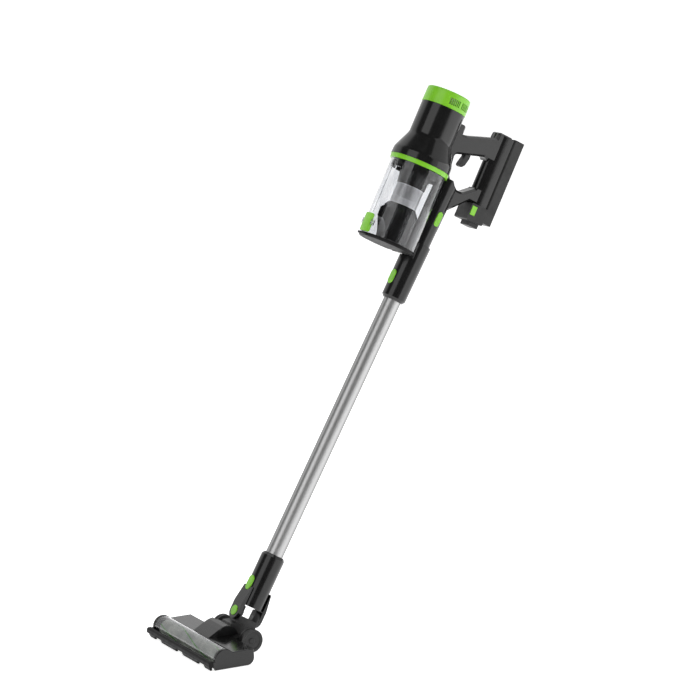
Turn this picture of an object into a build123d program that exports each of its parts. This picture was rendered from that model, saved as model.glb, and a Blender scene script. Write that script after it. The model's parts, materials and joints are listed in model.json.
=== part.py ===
"""Cordless stick vacuum, leaning back, as separate pieces.

Three frames are used, all in millimetres:
  head frame   X to the side, Y to the rear, Z up from the floor
  wand frame   Z up the wand, Y square to it towards the rear, origin near the neck's roll pivot
  hand frame   Z up the dust cup's axis, Y towards the battery, origin at the cup lid's centre
"""

from build123d import *
from math import cos, pi, sin
import os

# ---------------------------------------------------------------- driving dimensions
ORIGIN_Y = 342.3            # head frame's Y of the origin, the middle of the object's box
FIT = 0.05                  # radial clearance of a running fit
GAP = 0.3                   # clearance between pieces that move past each other
WALL = 2.4                  # moulded wall

LEAN = 29.05                # wand's lean from upright, degrees
NECK_Y, NECK_Z = 131.5, 60.0
TUBE_R, TUBE_WALL = 16.0, 1.2
TUBE_BOTTOM, TUBE_TOP = 42.0, 680.0
CONNECTOR_R = 22.5
NECK_RIM, UPPER_RIM, UPPER_TOP = 108.0, 610.0, 722.0
SPIGOT_R, SPIGOT_TOP, SPIGOT_FLAT = 16.6, 760.0, -6.0
ROLL_Q = -10.0              # roll axis, along the wand frame
FORK_FRONT, FORK_REAR = -27.0, 27.0
PRONG_FRONT, PRONG_REAR = -20.0, 20.5
PRONG_R = 15.0

HAND_TILT = 2.5             # dust cup's axis against the wand, degrees
HAND_P, HAND_Q = -61.0, 691.5
CUP_R, CUP_WALL, CUP_BOTTOM, CUP_TOP = 52.0, 2.0, 6.3, 151.0
RING_R, RING_TOP = 55.0, 158.0
SKIRT_R, BARREL_R = 56.5, 41.0
HOUSING_BOTTOM, HOUSING_TOP = 158.3, 266.0
CAP_TOP = 296.0
SPINE_U = 53.0              # rear face of the spine
COLUMN_FRONT, COLUMN_REAR = 121.5, 156.0
COLUMN_BOTTOM, COLUMN_TOP = 137.0, 275.0
COLUMN_HALF, COLUMN_WIDEST = 17.0, 149.5
BATTERY_REAR, BATTERY_BOTTOM = 178.0, 111.0
BATTERY_HALF = 20.0

HEAD_HALF = 122.0
SIDE_CAP = 6.0
WINDOW_Y, WINDOW_Z = 20.0, 17.5
WINDOW_R, WINDOW_WALL = 18.6, 1.4
BRUSH_Z, BRUSH_R, CORE_R = 17.0, 16.5, 10.0
COVER_Z = 29.5
BARREL_Y, BARREL_Z, PITCH_R = 74.0, 24.0, 21.5
BARREL_HALF, EAR_OUT = 23.2, 28.5
HOOD_R = 23.6
WHEEL_Y, WHEEL_R, WHEEL_IN, WHEEL_OUT = 107.7, 21.0, 46.0, 58.0
MOTOR_Y, MOTOR_Z, MOTOR_R = 53.5, 15.5, 10.0
BELT_X = 109.0              # middle of the belt, on the left side of the head
PULLEY_BRUSH, PULLEY_MOTOR = 9.0, 4.5

SOLE_SCREW_X, SOLE_SCREW_Y = (-96, -64, 64, 96), 68.0

BARREL_P = (BARREL_Y - NECK_Y) * cos(LEAN * pi / 180) - (BARREL_Z - NECK_Z) * sin(LEAN * pi / 180)
BARREL_Q = (BARREL_Y - NECK_Y) * sin(LEAN * pi / 180) + (BARREL_Z - NECK_Z) * cos(LEAN * pi / 180)
CHEEK_FRONT, CHEEK_REAR = (-19.5, -12.0), (12.0, 20.0)
SADDLE_Q = -15.0
AIR_R, AIR_SLOT = 5.0, (-18.0, -13.5)   # air path up the front cheek into the hollow pin

LOWER_BUTTON_Q, UPPER_BUTTON_Q = 46.0, 648.9
BUTTON_W, BUTTON_L, BUTTON_DEEP = 15.0, 28.0, 3.6
BUTTON_FACE = -(CONNECTOR_R + 1.2)
BUTTON_TRAVEL = 1.6

DUCT_R, DUCT_TOP = 20.5, 850.0
SIDE_BUTTON_Q, SIDE_BUTTON_P = 776.0, 3.5
PORT_Q = (790.0, 826.0)

TRIGGER_U, TRIGGER_H, TRIGGER_HALF = 84.0, 219.0, 6.5
HANDLE_SCREWS = ((138.0, 139.0), (124.5, 266.0), (92.0, 128.0), (47.5, 236.0))
FOOT_FRONT, FOOT_TOP, FOOT_BOTTOM = 122.0, COLUMN_BOTTOM - GAP, 105.0
BATTERY_BUTTON_U, BATTERY_BUTTON_H = 130.0, 124.0

MESH_R, MESH_LOW, MESH_HIGH = 25.0, 76.0, 113.0
LATCH_HALF, LATCH_H, LATCH_PIN_U = 13.0, 25.0, -54.6
LID_PIN_U, LID_PIN_H, LID_GAP = 34.0, 2.8, 3.2

HEAD = Location((0, -ORIGIN_Y, 0))
WAND = HEAD * Location((0, NECK_Y, NECK_Z), (-LEAN, 0, 0))
HAND = WAND * Location((0, HAND_P, HAND_Q), (HAND_TILT, 0, 0))
HAND_IN_WAND = Location((0, HAND_P, HAND_Q), (HAND_TILT, 0, 0))
SIDE = Plane(origin=(0, 0, 0), x_dir=(0, 1, 0), z_dir=(1, 0, 0))   # sketch (Y, Z), extruded along X


# ---------------------------------------------------------------- shape helpers
def cylinder(radius, low, high):
    """Upright cylinder from low to high."""
    return Pos(0, 0, low) * Cylinder(radius, high - low, align=(Align.CENTER, Align.CENTER, Align.MIN))


def pipe(outer, inner, low, high):
    """Upright tube from low to high."""
    return cylinder(outer, low, high) - cylinder(inner, low - 1, high + 1)


def box(x, y, z):
    """Block between two values on each axis."""
    size = (x[1] - x[0], y[1] - y[0], z[1] - z[0])
    middle = ((x[0] + x[1]) / 2, (y[0] + y[1]) / 2, (z[0] + z[1]) / 2)
    return Pos(*middle) * Box(*size)


def rod_x(radius, y, z, low, high):
    """Cylinder along X through (y, z)."""
    return Pos(low, y, z) * Rot(0, 90, 0) * Cylinder(
        radius, high - low, align=(Align.CENTER, Align.CENTER, Align.MIN))


def rod_y(radius, x, z, low, high):
    """Cylinder along Y through (x, z)."""
    return Pos(x, low, z) * Rot(-90, 0, 0) * Cylinder(
        radius, high - low, align=(Align.CENTER, Align.CENTER, Align.MIN))


def slab(points, low, high, radius=0.0):
    """Outline of (Y, Z) points extruded along X from low to high, its corners rounded."""
    outline = make_face(Polyline(*points, close=True))
    if radius:
        outline = fillet(outline.vertices(), radius)
    return extrude(Pos(low, 0, 0) * (SIDE * outline), high - low, dir=(1, 0, 0))


def turned(points, radii=0.0):
    """Solid of revolution about Z of an outline of (r, z) points, its corners rounded."""
    outline = make_face(Polyline(*points, close=True))
    if radii:
        outline = fillet(outline.vertices(), radii)
    return revolve(Plane.XZ * outline, Axis.Z)


def pill(width, length, depth):
    """Pill with flat ends, long along Z, its back face at Y 0 and its front face at -depth."""
    body = extrude(Plane.XZ * (Rot(0, 0, 90) * SlotOverall(length, width)), depth)
    return fillet(body.faces().sort_by(Axis.Y)[0].edges(), depth * 0.45)


def around(piece, count):
    """Copies of a piece turned evenly about Z."""
    return [Rot(0, 0, 360 * i / count) * piece for i in range(count)]


def both_sides(piece):
    """A piece and its mirror image across the middle plane."""
    return piece + mirror(piece, about=Plane.YZ)


def zigzag(width, pitch, count, depth):
    """Flat folded spring, its folds along Z, as deep along Y as told."""
    forward = [(0 if i % 2 else depth, i * pitch) for i in range(count)]
    back = [(y + 0.8, z) for y, z in reversed(forward)]
    return slab(forward + back, -width / 2, width / 2)


# ---------------------------------------------------------------- floor head
def head_profile(grow=0.0):
    """Side outline of the head: round nose, flat sole, rounded rear."""
    nose = Pos(WINDOW_Y, WINDOW_Z) * Circle(WINDOW_R + 0.6 + grow)
    body = make_face(Polyline((2, 0.6), (79, 0.6), (77, COVER_Z), (30, COVER_Z), (2, 17), close=True))
    corners = body.vertices().sort_by(Axis.X)
    body = fillet(corners[-1], 13)
    body = fillet(body.vertices().sort_by(Axis.Y).filter_by_position(Axis.X, 70, 80)[-1], 4)
    chin = make_face(Polyline((-2.5, 6), (-2.5, 17), (6, 17), (6, 0.6), (4, 0.6), close=True))
    return (nose + body + chin) & (Pos(40, 40.6) * Rectangle(200, 80))


def side_cap(side):
    """End cover of the head, with a rounded outer edge."""
    cap = extrude(SIDE * head_profile(), SIDE_CAP, dir=(1, 0, 0))
    cap = fillet(cap.faces().sort_by(Axis.X)[-1].edges(), 1.6)
    cap = Pos(HEAD_HALF - SIDE_CAP, 0, 0) * cap
    return cap if side > 0 else mirror(cap, about=Plane.YZ)


def head_base():
    """Chassis: floor, brush chamber wall, end plates, pivot ears and wheel arms."""
    inner = HEAD_HALF - SIDE_CAP
    floor = box((-inner, inner), (41, 76), (1.5, 4))
    wall = box((-inner, inner), (39.5, 42), (1.5, 26.5)) - box((-18, 18), (39, 43), (5, 24))
    back = both_sides(box((31, inner), (73.5, 76), (4, 26.5)))
    ends = both_sides(slab(((3, 14), (8, 3), (42, 1.5), (76, 1.5), (76, 26.5), (33, 26.5), (28, 29),
                            (10, 29)),
                           inner - 2.5, inner))
    for side in (-1, 1):
        ends -= rod_x(4.0, WINDOW_Y, BRUSH_Z, side * inner - 4, side * inner + 4)
    ears = both_sides(rod_x(PITCH_R, BARREL_Y, BARREL_Z, BARREL_HALF + 0.4, EAR_OUT)
                      + box((BARREL_HALF + 0.4, EAR_OUT), (41, 74), (1.5, 26.5)))
    arm = slab(((60, 4), (76, 4), (108, 10), (116, 16), (116, 26), (108, 30), (79, 26.5), (60, 26.5)),
               EAR_OUT, 44.5, 2.5)
    arms = both_sides(arm)
    wall -= box((-BELT_X - 4, -BELT_X + 4), (39, 43), (5, 27))
    cradle = box((-95, -92), (44, 63), (4, 10)) + box((-56, -53), (44, 63), (4, 10))
    cradle -= rod_x(MOTOR_R, MOTOR_Y, MOTOR_Z, -100, -40)
    base = floor + wall + back + ends + ears + arms + cradle
    base -= box((-BARREL_HALF - 0.4, BARREL_HALF + 0.4), (50, 130), (1, 30))
    base += box((-EAR_OUT, EAR_OUT), (41, 51.5), (1.5, 4))
    base -= rod_x(4.0, BARREL_Y, BARREL_Z, -EAR_OUT - 1, EAR_OUT + 1)
    base -= both_sides(rod_x(3.0, WHEEL_Y, WHEEL_R, 30, 50))
    for x in SOLE_SCREW_X:
        base -= Pos(x, SOLE_SCREW_Y, 0) * cylinder(1.5, 0, 5)
    return base


def sole_screws():
    """Screws that hold the sole to the top cover."""
    screw = cylinder(1.45, 1.2, 12) + cylinder(3.0, 0.7, 1.5)
    return Compound([Pos(x, SOLE_SCREW_Y, 0) * screw for x in SOLE_SCREW_X])


def head_top_cover():
    """Flat top cover with its rear edge turned down, open under the pivot hood."""
    inner = HEAD_HALF - SIDE_CAP
    cover = slab(((35.8, COVER_Z), (76.5, COVER_Z), (77.5, 26.6), (36, 26.6)), -inner, inner)
    cover -= box((-EAR_OUT - 0.1, EAR_OUT + 0.1), (49, 90), (20, 40))
    return cover


def pivot_hood():
    """Curved fairing that rises over the front half of the pivot barrel."""
    wedge = make_face(Polyline((36, COVER_Z + 0.02), (42, 33.2), (58, 42.3), (66, 46.2), (BARREL_Y, 47.6),
                               (BARREL_Y, COVER_Z + 0.02), close=True))
    wedge -= Pos(BARREL_Y, BARREL_Z) * Circle(HOOD_R - 1.5)
    hood = extrude(SIDE * wedge, EAR_OUT, both=True, dir=(1, 0, 0))
    hollow = make_face(Polyline((44, COVER_Z - 1), (50, 35), (56, 38), (62, 34), (62, COVER_Z - 1),
                                close=True))
    hood -= extrude(SIDE * hollow, 20, both=True, dir=(1, 0, 0))
    return hood - both_sides(rod_x(PITCH_R + 0.02, BARREL_Y, BARREL_Z, BARREL_HALF, EAR_OUT + 1))


def brush_window():
    """Clear curved window over the brush."""
    ring = Pos(WINDOW_Y, WINDOW_Z) * (Circle(WINDOW_R) - Circle(WINDOW_R - WINDOW_WALL))
    low = 13.6
    keep = make_face(Polyline((-5, low), (20, low), (35.4, COVER_Z - 0.4), (34, 45), (-5, 45), close=True))
    return extrude(SIDE * (ring & keep), HEAD_HALF - SIDE_CAP, both=True, dir=(1, 0, 0))


def front_bumper():
    """Front strip on feet, with gaps that let coarse dirt in."""
    bar = slab(((-11, 9), (-11, 15), (-8.5, 17.5), (-2.6, 17.5), (-2.6, 7), (-9, 7)),
               -HEAD_HALF, HEAD_HALF, 0.8)
    sill = box((-116, 116), (-2.6, 2.2), (10.2, 13.3))
    sill -= rod_x(17.2, WINDOW_Y, BRUSH_Z, -116, 116)
    bumper = bar + sill
    gap_half = 13.0
    edges = [-118] + [e for x in (-84, 0, 84) for e in (x - gap_half, x + gap_half)] + [118]
    for left, right in zip(edges[::2], edges[1::2]):
        bumper += slab(((-9, 7.5), (-2.6, 7.5), (-2.6, 0.9), (-6, 0.9)), left, right)
    return bumper


def sole_skid():
    """Soft strip under the sole that the head rests on."""
    return box((-60, 60), (45, 60), (0, 1.5))


def head_pins():
    """Two short pins that the elbow's barrel turns on, and the stub axles of the rear wheels."""
    pivots = both_sides(rod_x(4.0, BARREL_Y, BARREL_Z, BARREL_HALF - 6, EAR_OUT))
    axles = both_sides(rod_x(3.0, WHEEL_Y, WHEEL_R, 33, WHEEL_OUT - 2))
    return pivots + axles


def rear_wheel(side):
    """Hard wheel with a groove round its rim, turning on its axle."""
    tread, groove = 1.2, 0.8
    half = (WHEEL_OUT - WHEEL_IN) / 2
    middle = (WHEEL_OUT + WHEEL_IN) / 2
    wheel = turned(((0, -half), (WHEEL_R, -half), (WHEEL_R, -tread), (WHEEL_R - groove, -tread),
                    (WHEEL_R - groove, tread), (WHEEL_R, tread), (WHEEL_R, half), (WHEEL_R - 5, half),
                    (WHEEL_R - 6, half - 1), (6, half - 1), (5, half), (0, half)))
    wheel -= cylinder(3.0 + FIT, -half - 1, half - 1.9)
    wheel = Pos(middle, WHEEL_Y, WHEEL_R) * Rot(0, 90, 0) * wheel
    return wheel if side > 0 else mirror(wheel, about=Plane.YZ)


def brush_motor():
    """Motor of the brush with its shaft, behind the brush chamber."""
    body = rod_x(MOTOR_R, MOTOR_Y, MOTOR_Z, -100, -45) + rod_x(5.5, MOTOR_Y, MOTOR_Z, -102, -100)
    return body - rod_x(2.0 + FIT, MOTOR_Y, MOTOR_Z, -104, -94)


def motor_pulley():
    """Small pulley on the motor's shaft."""
    return (rod_x(PULLEY_MOTOR, MOTOR_Y, MOTOR_Z, -BELT_X - 3, -BELT_X + 3)
            + rod_x(2.0, MOTOR_Y, MOTOR_Z, -BELT_X + 3, -95))


def drive_belt():
    """Belt round the motor pulley and the brush pulley."""
    def loop(grow):
        big = Pos(WINDOW_Y, BRUSH_Z) * Circle(PULLEY_BRUSH + grow)
        small = Pos(MOTOR_Y, MOTOR_Z) * Circle(PULLEY_MOTOR + grow)
        return make_hull(big.edges() + small.edges())
    belt = SIDE * (loop(1.3) - loop(FIT))
    return extrude(Pos(-BELT_X - 2.5, 0, 0) * belt, 5, dir=(1, 0, 0))


def brush_bearings():
    """Bearing rings in the end plates."""
    ring = rod_x(4.0, WINDOW_Y, BRUSH_Z, 113.5, 116) - rod_x(2.5 + FIT, WINDOW_Y, BRUSH_Z, 110, 120)
    return both_sides(ring)


def brush_core():
    """Hollow roll with its end shafts and the driven pulley."""
    core = rod_x(CORE_R, WINDOW_Y, BRUSH_Z, -104, 111) - rod_x(CORE_R - 2, WINDOW_Y, BRUSH_Z, -101, 108)
    core += rod_x(PULLEY_BRUSH, WINDOW_Y, BRUSH_Z, -BELT_X - 3, -104)
    core += rod_x(2.5, WINDOW_Y, BRUSH_Z, -115.8, -112) + rod_x(2.5, WINDOW_Y, BRUSH_Z, 111, 115.8)
    return core


def brush_pile():
    """Soft pile round the roll."""
    return (rod_x(BRUSH_R, WINDOW_Y, BRUSH_Z, -103, 110)
            - rod_x(CORE_R, WINDOW_Y, BRUSH_Z, -104, 112))


# ---------------------------------------------------------------- elbow and neck, wand frame


def waist():
    """Gap between the cheeks, wider towards the sides."""
    outline = make_face(Polyline((0, -12), (7, -12), (16, -17.2), (16, 17.2), (7, 12), (0, 12), close=True))
    return both_sides(Pos(0, 0, SADDLE_Q) * extrude(outline, 30))


def cheek(low, high):
    """Round-topped cheek of the elbow, square to the roll axis."""
    disc = rod_y(PRONG_R, 0, ROLL_Q, low, high)
    return disc + box((-PRONG_R, PRONG_R), (low, high), (-30, ROLL_Q))


def elbow():
    """Block with a barrel across its foot and two cheeks that the fork straddles."""
    block = slab(((-31, -34), (-19.5, -28), (20, -28), (20, -30), (11, -40), (-17.6, -74.2),
                  (BARREL_P, BARREL_Q)), -17, 17)
    block += box((-PRONG_R, PRONG_R), (CHEEK_FRONT[0], CHEEK_REAR[1]), (-29, SADDLE_Q))
    block += cheek(*CHEEK_FRONT) + cheek(*CHEEK_REAR)
    block -= waist()
    block += rod_x(PITCH_R, BARREL_P, BARREL_Q, -BARREL_HALF, BARREL_HALF)
    block -= rod_x(PITCH_R - 4, BARREL_P, BARREL_Q, -BARREL_HALF + 7, BARREL_HALF - 7)
    block -= rod_x(4.0 + FIT, BARREL_P, BARREL_Q, -BARREL_HALF - 1, BARREL_HALF + 1)
    block -= Pos(0, BARREL_P, BARREL_Q) * Rot(90 + LEAN, 0, 0) * cylinder(10, 0, 30)
    block -= Pos(0, BARREL_P, BARREL_Q) * Rot(-33.6, 0, 0) * cylinder(AIR_R, 0, 35)
    block -= box((-6.5, 6.5), AIR_SLOT, (-33, ROLL_Q))
    block -= rod_y(9 + FIT, 0, ROLL_Q, CHEEK_FRONT[0] - 1, CHEEK_FRONT[1] + 1)
    block -= rod_y(5 + FIT, 0, ROLL_Q, CHEEK_REAR[0] - 1, CHEEK_REAR[1] + 1)
    return block


def prong(front, rear, slope):
    """One side of the fork, round-ended about the roll axis, blended into the neck."""
    side_view = slab(((front + slope, 40), (front, 8), (front, -26), (rear, -26), (rear, 40)),
                     -PRONG_R, PRONG_R)
    face_view = rod_y(PRONG_R, 0, ROLL_Q, FORK_FRONT - 1, FORK_REAR + 1)
    face_view += box((-PRONG_R, PRONG_R), (FORK_FRONT - 1, FORK_REAR + 1), (ROLL_Q, 41))
    return side_view & face_view


def neck_connector():
    """Lower connector: socket for the tube above, fork for the elbow below."""
    body = turned(((0, 6.5), (CONNECTOR_R - 0.5, 6.5), (CONNECTOR_R - 0.5, NECK_RIM - 5),
                   (CONNECTOR_R - 4, NECK_RIM), (0, NECK_RIM)))
    body += prong(FORK_FRONT, PRONG_FRONT, 5.5)
    rear = prong(PRONG_REAR, FORK_REAR, 0) & slab(((0, -30), (FORK_REAR, -30), (FORK_REAR, 8),
                                                   (CONNECTOR_R - 1, 40), (0, 40)), -20, 20)
    body += rear
    body -= box((-30, 30), (PRONG_FRONT, PRONG_REAR), (-30, 6.4))
    body -= cylinder(TUBE_R + FIT, TUBE_BOTTOM - 0.3, NECK_RIM + 1)
    body -= cylinder(TUBE_R - 3, 20, TUBE_BOTTOM)
    body -= rod_y(9, 0, ROLL_Q, FORK_FRONT + 3, 0)
    body -= rod_y(5, 0, ROLL_Q, 0, FORK_REAR - 3)
    body -= button_seat(LOWER_BUTTON_Q)
    return body


def roll_pins():
    """Hollow front pin that carries the air, and a solid rear pin."""
    front = rod_y(9, 0, ROLL_Q, FORK_FRONT + 3, CHEEK_FRONT[1])
    front -= rod_y(7, 0, ROLL_Q, FORK_FRONT, AIR_SLOT[1] + 0.3)
    front -= box((-5, 5), AIR_SLOT, (ROLL_Q - 10, ROLL_Q))
    rear = rod_y(5, 0, ROLL_Q, CHEEK_REAR[0], FORK_REAR - 3)
    return front + rear


def pivot_cap():
    """Round cover over the front pin."""
    disc = rod_y(9.5, 0, ROLL_Q, FORK_FRONT - 1.6, FORK_FRONT)
    return fillet(disc.edges().sort_by(Axis.Y)[:1], 1.2)


# ---------------------------------------------------------------- wand, wand frame


def button_seat(q):
    """Pocket of a release button in a connector's front, deeper than the button by its travel."""
    depth = BUTTON_DEEP + BUTTON_TRAVEL + 0.4
    pocket = extrude(Plane.XZ * (Rot(0, 0, 90) * SlotOverall(BUTTON_L + 2 * GAP, BUTTON_W + 2 * GAP)), 10)
    return Pos(0, BUTTON_FACE + depth, q) * pocket


def release_button(q):
    """Long pill button, standing just proud of the connector."""
    return Pos(0, BUTTON_FACE + BUTTON_DEEP, q) * pill(BUTTON_W, BUTTON_L, BUTTON_DEEP)


def button_spring(q):
    """Folded spring behind a release button."""
    return Pos(0, BUTTON_FACE + BUTTON_DEEP + 0.05, q - 6) * zigzag(4, 2.0, 7, 1.0)


def wand_tube():
    """Drawn aluminium tube."""
    return pipe(TUBE_R, TUBE_R - TUBE_WALL, TUBE_BOTTOM, TUBE_TOP)


def spigot(grow, top):
    """Round plug with a flat front that joins the wand to the handheld."""
    plug = cylinder(SPIGOT_R + grow, UPPER_TOP - 1, top)
    return plug - box((-30, 30), (-30, SPIGOT_FLAT - grow), (UPPER_TOP - 2, top + 1))


def upper_connector():
    """Collar on the tube's top end, cut away where the cup passes, with a spigot for the handheld."""
    body = turned(((0, UPPER_RIM), (CONNECTOR_R - 4, UPPER_RIM), (CONNECTOR_R, UPPER_RIM + 5),
                   (CONNECTOR_R + 1, UPPER_TOP), (0, UPPER_TOP)))
    body -= HAND_IN_WAND * cylinder(CUP_R + 3.2, -1.5, 90)
    body += spigot(0.0, SPIGOT_TOP)
    body -= cylinder(TUBE_R, UPPER_RIM - 1, TUBE_TOP)
    body -= cylinder(TUBE_R - TUBE_WALL, TUBE_TOP - 1, TUBE_TOP + 2)
    body -= Pos(0, 5.5, 0) * cylinder(9, TUBE_TOP, SPIGOT_TOP + 1)
    body -= button_seat(UPPER_BUTTON_Q)
    return body


# ---------------------------------------------------------------- handheld unit


def duct_blank(grow=0.0):
    """Outer form of the inlet duct, wand frame, cut away where the cup stands."""
    duct = cylinder(DUCT_R + grow, UPPER_TOP + 0.3 - grow, DUCT_TOP + grow)
    duct -= HAND_IN_WAND * cylinder(CUP_R + 1.6 - grow, -40, HOUSING_BOTTOM + 10)
    duct -= HAND_IN_WAND * cylinder(RING_R + 1.0 - grow, CUP_TOP - 1.6, HOUSING_BOTTOM + 10)
    return duct - HAND_IN_WAND * extrude(SIDE * finger_opening(), 40, both=True, dir=(1, 0, 0))


def inlet_duct():
    """Duct behind the cup: socket for the wand below, port into the cup above."""
    duct = duct_blank()
    duct -= spigot(FIT, SPIGOT_TOP + 0.5)
    duct -= Pos(0, 5.5, 0) * cylinder(10, SPIGOT_TOP, DUCT_TOP - 4)
    duct -= box((-9, 9), (-30, 5), PORT_Q)
    duct -= side_button_form(GAP, 3.6)
    return duct


def side_button_form(grow, deep):
    """Pill standing in the duct's +X side, in the wand frame."""
    outline = Rot(0, 0, 90) * SlotOverall(28 + 2 * grow, 11 + 2 * grow)
    plane = Plane(origin=(DUCT_R + 1.0 - deep, SIDE_BUTTON_P, SIDE_BUTTON_Q),
                  x_dir=(0, 1, 0), z_dir=(1, 0, 0))
    return extrude(plane * outline, deep + (4 if grow else 0))


def cup_button():
    """Release button of the dust cup."""
    body = side_button_form(0.0, 2.4)
    return fillet(body.faces().sort_by(Axis.X)[-1].edges(), 1.0)


def housing_outline(inset=0.0):
    """Half outline of the motor housing, skirt at the bottom, barrel above."""
    low, high = HOUSING_BOTTOM - inset, HOUSING_TOP + inset
    face = make_face(Polyline((0, low), (SKIRT_R - inset, low), (SKIRT_R - 0.8 - inset, 172),
                              (BARREL_R - inset, 206), (BARREL_R - inset, high), (0, high), close=True))
    face = fillet(face.vertices().filter_by_position(Axis.Y, 205, 207), 16)
    return fillet(face.vertices().filter_by_position(Axis.Y, 171, 173), 12)


def housing_solid(inset=0.0):
    """Motor housing's form, solid."""
    return revolve(Plane.XZ * housing_outline(inset), Axis.Z)


def motor_housing():
    """Shell round the suction motor, with an inlet plate that carries the fan."""
    shell = housing_solid() - housing_solid(WALL)
    return shell + (pipe(SKIRT_R - 5, 21, 176, 178.5) & housing_solid(WALL - 0.2))


def exhaust_cap():
    """Cap with a closed top and groups of exhaust slots round its rear half."""
    low = HOUSING_TOP + GAP
    cap = turned(((0, low), (BARREL_R + 0.6, low), (BARREL_R, CAP_TOP), (0, CAP_TOP)))
    cap = fillet(cap.faces().sort_by(Axis.Z)[-1].edges(), 3.5)
    cap -= cylinder(BARREL_R - 2.2, HOUSING_TOP - 1, CAP_TOP - WALL)
    slot = box((-1.1, 1.1), (-BARREL_R - 5, -BARREL_R + 6), (273, 285))
    for group in (81, 117, 153):
        for i in range(6):
            turn = group + (i - 2.5) * 5.2
            cap -= Rot(0, 0, turn) * slot
            cap -= Rot(0, 0, -turn) * slot
    return cap


def hepa_filter():
    """Pleated ring filter under the exhaust cap."""
    pleats = 36
    rim = [((33.5 if i % 2 else 37.5), pi * i / pleats) for i in range(2 * pleats)]
    star = make_face(Polyline(*[(r * cos(a), r * sin(a)) for r, a in rim], close=True))
    return Pos(0, 0, 269) * extrude(star, 20) - cylinder(29, 268, 290)


def motor_can():
    """Case of the suction motor."""
    can = pipe(27, 25, 216, 252) + pipe(27, 5, 216, 218) + pipe(27, 5, 252, 254)
    vents = Compound([Rot(0, 0, 30 * i) * box((-3, 3), (22, 30), (236, 246)) for i in range(12)])
    return can - vents


def motor_mount():
    """Rubber ring that holds the motor in the housing."""
    ring = pipe(BARREL_R - WALL, 27, 219, 226)
    for notch in around(box((-4, 4), (30, 34), (218, 227)), 8):
        ring -= notch
    return ring


def impeller():
    """Fan wheel with curved blades between a hub disc and the shaft."""
    wheel = pipe(25, 3, 212, 214) + pipe(7, 3, 200, 214)
    blade = extrude(Pos(15, 0) * (Rot(0, 0, 25) * Rectangle(20, 1.2)), 10)
    for copy in around(Pos(0, 0, 203) * blade, 9):
        wheel += copy
    return wheel & cylinder(25, 199, 215)


def rotor():
    """Motor's rotor on its shaft."""
    return cylinder(3, 199, 258) + cylinder(17, 222, 248)


def finger_opening():
    """Rounded outline of the opening that the hand's fingers pass through."""
    opening = make_face(Polyline((SPINE_U, 202), (COLUMN_FRONT, 224), (COLUMN_FRONT, 163), (98, 144.5),
                                 (75, 146), (58, 165), close=True))
    opening = fillet(opening.vertices().sort_by(Axis.X)[0], 6)
    opening = fillet(opening.vertices().filter_by_position(Axis.Y, 140, 170).sort_by(Axis.X)[:3], 20)
    return fillet(opening.vertices().filter_by_position(Axis.X, COLUMN_FRONT - 1, COLUMN_FRONT + 1), 8)


def handle_outline():
    """Side outline of the handle: spine, sloping grip, column and lower arm, with the finger opening."""
    outer = make_face(Polyline((34, 256), (SPINE_U, 256), (SPINE_U, 240), (62, 241), (122, 262.5),
                               (123, COLUMN_TOP), (COLUMN_REAR, COLUMN_TOP), (COLUMN_REAR, COLUMN_BOTTOM),
                               (118, COLUMN_BOTTOM), (84, 104), (82, 60), (50, 60), (34, 160), close=True))
    top = outer.vertices().filter_by_position(Axis.Y, COLUMN_TOP - 1, COLUMN_TOP + 1)
    outer = fillet(top, 5)
    spine_top = outer.vertices().filter_by_position(Axis.Y, 255, 257).sort_by(Axis.X)[-1]
    return fillet(spine_top, 5) - finger_opening()


def column_section(inset=0.0):
    """Section of the column: round in front, straight-sided against the battery."""
    front = Pos(0, COLUMN_WIDEST) * Ellipse(COLUMN_HALF - inset, COLUMN_WIDEST - COLUMN_FRONT - inset)
    front &= Pos(0, COLUMN_WIDEST - 20) * Rectangle(60, 40)
    depth = COLUMN_REAR - inset - COLUMN_WIDEST
    return front + Pos(0, COLUMN_WIDEST + depth / 2) * Rectangle(2 * (COLUMN_HALF - inset), depth)


def handle_solid():
    """Handle before it is hollowed and split."""
    plate = extrude(SIDE * handle_outline(), 14, both=True, dir=(1, 0, 0))
    faces = plate.faces().filter_by(Axis.X)
    plate = chamfer(faces.edges(), 4)
    plate -= box((-20, 20), (COLUMN_FRONT - 1, COLUMN_REAR + 1), (164, 223))
    return plate + Pos(0, 0, COLUMN_BOTTOM) * extrude(column_section(), COLUMN_TOP - COLUMN_BOTTOM - 3)


def handle_body():
    """Handle, cut back from the housing and the duct, with its hollow and its openings."""
    body = handle_solid() - housing_solid(-0.02)
    body -= HAND_IN_WAND.inverse() * duct_blank(0.02)
    body -= cylinder(RING_R + 1.6, -30, HOUSING_BOTTOM + 0.1)
    body -= Pos(0, 0, COLUMN_BOTTOM + 4) * extrude(column_section(3.0), COLUMN_TOP - COLUMN_BOTTOM - 11)
    body -= slab(((64, 210), (116, 230), (116, 256), (64, 238)), -10.5, 10.5, 3)
    body -= box((-TRIGGER_HALF - GAP, TRIGGER_HALF + GAP), (66, 93), (196, 226))
    body -= battery_terminals()
    body -= rod_x(1.5, TRIGGER_U, TRIGGER_H, -12, 12)
    return body


def handle_half(side):
    """Left or right shell of the handle."""
    half = handle_body() & box((-60, 0), (0, 300), (0, 400))
    for u, h in HANDLE_SCREWS:
        half -= rod_x(1.6, u, h, -9.5, 9.5)
    return half if side < 0 else mirror(half, about=Plane.YZ)


def handle_screws():
    """Screws that hold the two halves together, driven from the +X side."""
    group = []
    for u, h in HANDLE_SCREWS:
        group.append(rod_x(1.6, u, h, -8.5, 9.5))
    return Compound(group)


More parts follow.
